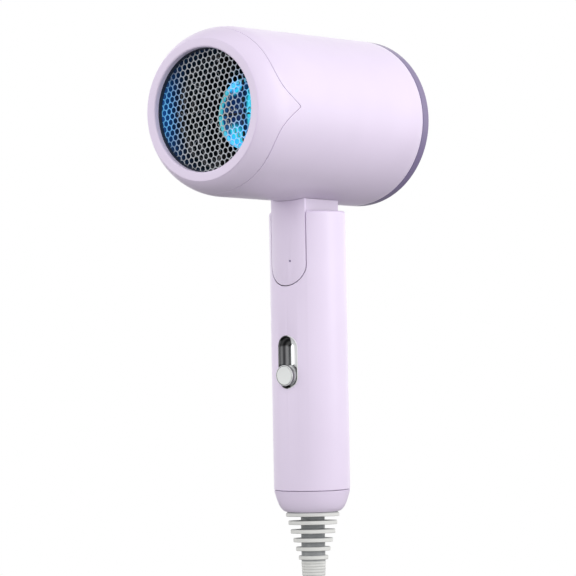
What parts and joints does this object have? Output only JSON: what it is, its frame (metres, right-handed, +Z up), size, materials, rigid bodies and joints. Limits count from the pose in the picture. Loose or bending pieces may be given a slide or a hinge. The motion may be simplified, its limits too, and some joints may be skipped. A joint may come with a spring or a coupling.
{
  "type": "hair dryer",
  "caption": "Folding hair dryer with a round barrel, honeycomb outlet grille, lit blower, sliding thumb switch and finned strain relief on a tied mains lead.",
  "frame": {"origin": "middle of the hand grip, on the grip's axis", "axes": "+Z up the grip to the barrel, -Y the way the air blows out, +X across the barrel"},
  "size_m": [0.0782, 0.119, 0.5117],
  "materials": {
    "lavender_plastic": "satin moulded plastic, pale lavender",
    "mauve_plastic": "satin moulded plastic, darker mauve",
    "silver_mesh": "bright woven honeycomb",
    "chrome": "polished",
    "silver_paint": "fine matt silver",
    "steel": "plain",
    "dark_plastic": "black heat-proof moulding",
    "mica": "pressed mica sheet",
    "heater_wire": "resistance wire",
    "white_plastic": "matt moulded plastic",
    "brass_fuse": "plain",
    "light_plastic": "clear light guide, lit pale blue",
    "green_board": "lacquered circuit board",
    "capacitor_sleeve": "shrink sleeve",
    "grey_rubber": "matt warm grey",
    "strap_fabric": "hook and loop tape",
    "nickel": "nickel plated"
  },
  "bodies": {
    "handle": {"handle_shell": "lavender_plastic", "handle_end_cap": "lavender_plastic", "switch_bezel": "chrome", "hinge_pin_left": "steel", "hinge_pin_right": "steel", "clamp_screw_1": "steel", "clamp_screw_2": "steel", "hinge_ear_left": "dark_plastic", "hinge_ear_right": "dark_plastic", "switch_body": "dark_plastic", "relay": "dark_plastic", "cord_clamp": "dark_plastic", "handle_chassis": "white_plastic", "circuit_board": "green_board", "filter_capacitor": "capacitor_sleeve", "strain_relief": "grey_rubber", "inner_lead": "grey_rubber", "cord_lead": "grey_rubber", "cord_hank": "grey_rubber", "cord_tail": "grey_rubber", "plug_relief": "grey_rubber", "plug_body": "grey_rubber", "cord_tie": "strap_fabric", "plug_pin_1": "nickel", "plug_pin_2": "nickel"},
    "switch": {"switch_knob": "chrome", "knob_face": "silver_paint", "switch_slider": "dark_plastic"},
    "head": {"front_cowl": "lavender_plastic", "barrel_shell": "lavender_plastic", "outlet_grille": "silver_mesh", "grille_ring": "dark_plastic", "heat_tube": "dark_plastic", "mica_board_upright": "mica", "mica_board_level": "mica", "heater_coil_front": "heater_wire", "heater_coil_rear": "heater_wire", "thermostat": "white_plastic", "thermal_fuse": "brass_fuse", "light_ring": "light_plastic", "light_board": "green_board", "motor_nose": "dark_plastic", "stator": "dark_plastic", "motor_can": "steel", "fan_shroud": "white_plastic", "shroud_screw_1": "steel", "shroud_screw_2": "steel", "shroud_screw_3": "steel", "ion_generator": "dark_plastic", "neck_knuckle": "lavender_plastic", "neck_cover": "lavender_plastic", "cover_pin": "steel"},
    "fan": {"motor_shaft": "steel", "impeller": "white_plastic"},
    "cover": {"rear_cover": "mauve_plastic", "intake_mesh": "steel"}
  },
  "joints": [
    {"name": "head_fold", "type": "hinge", "parent": "handle", "child": "head", "pos_m": [0, -0.004, 0.0525], "axis": [1, 0, 0], "range_deg": [0, 90]},
    {"name": "switch_slide", "type": "slide", "parent": "handle", "child": "switch", "axis": [0, 0, 1], "range_m": [0, 0.0126]},
    {"name": "fan_spin", "type": "hinge", "parent": "head", "child": "fan", "pos_m": [0, 0, 0.11], "axis": [0, 1, 0], "continuous": true},
    {"name": "cover_pull", "type": "slide", "parent": "head", "child": "cover", "axis": [0, 1, 0], "range_m": [0, 0.02]}
  ]
}
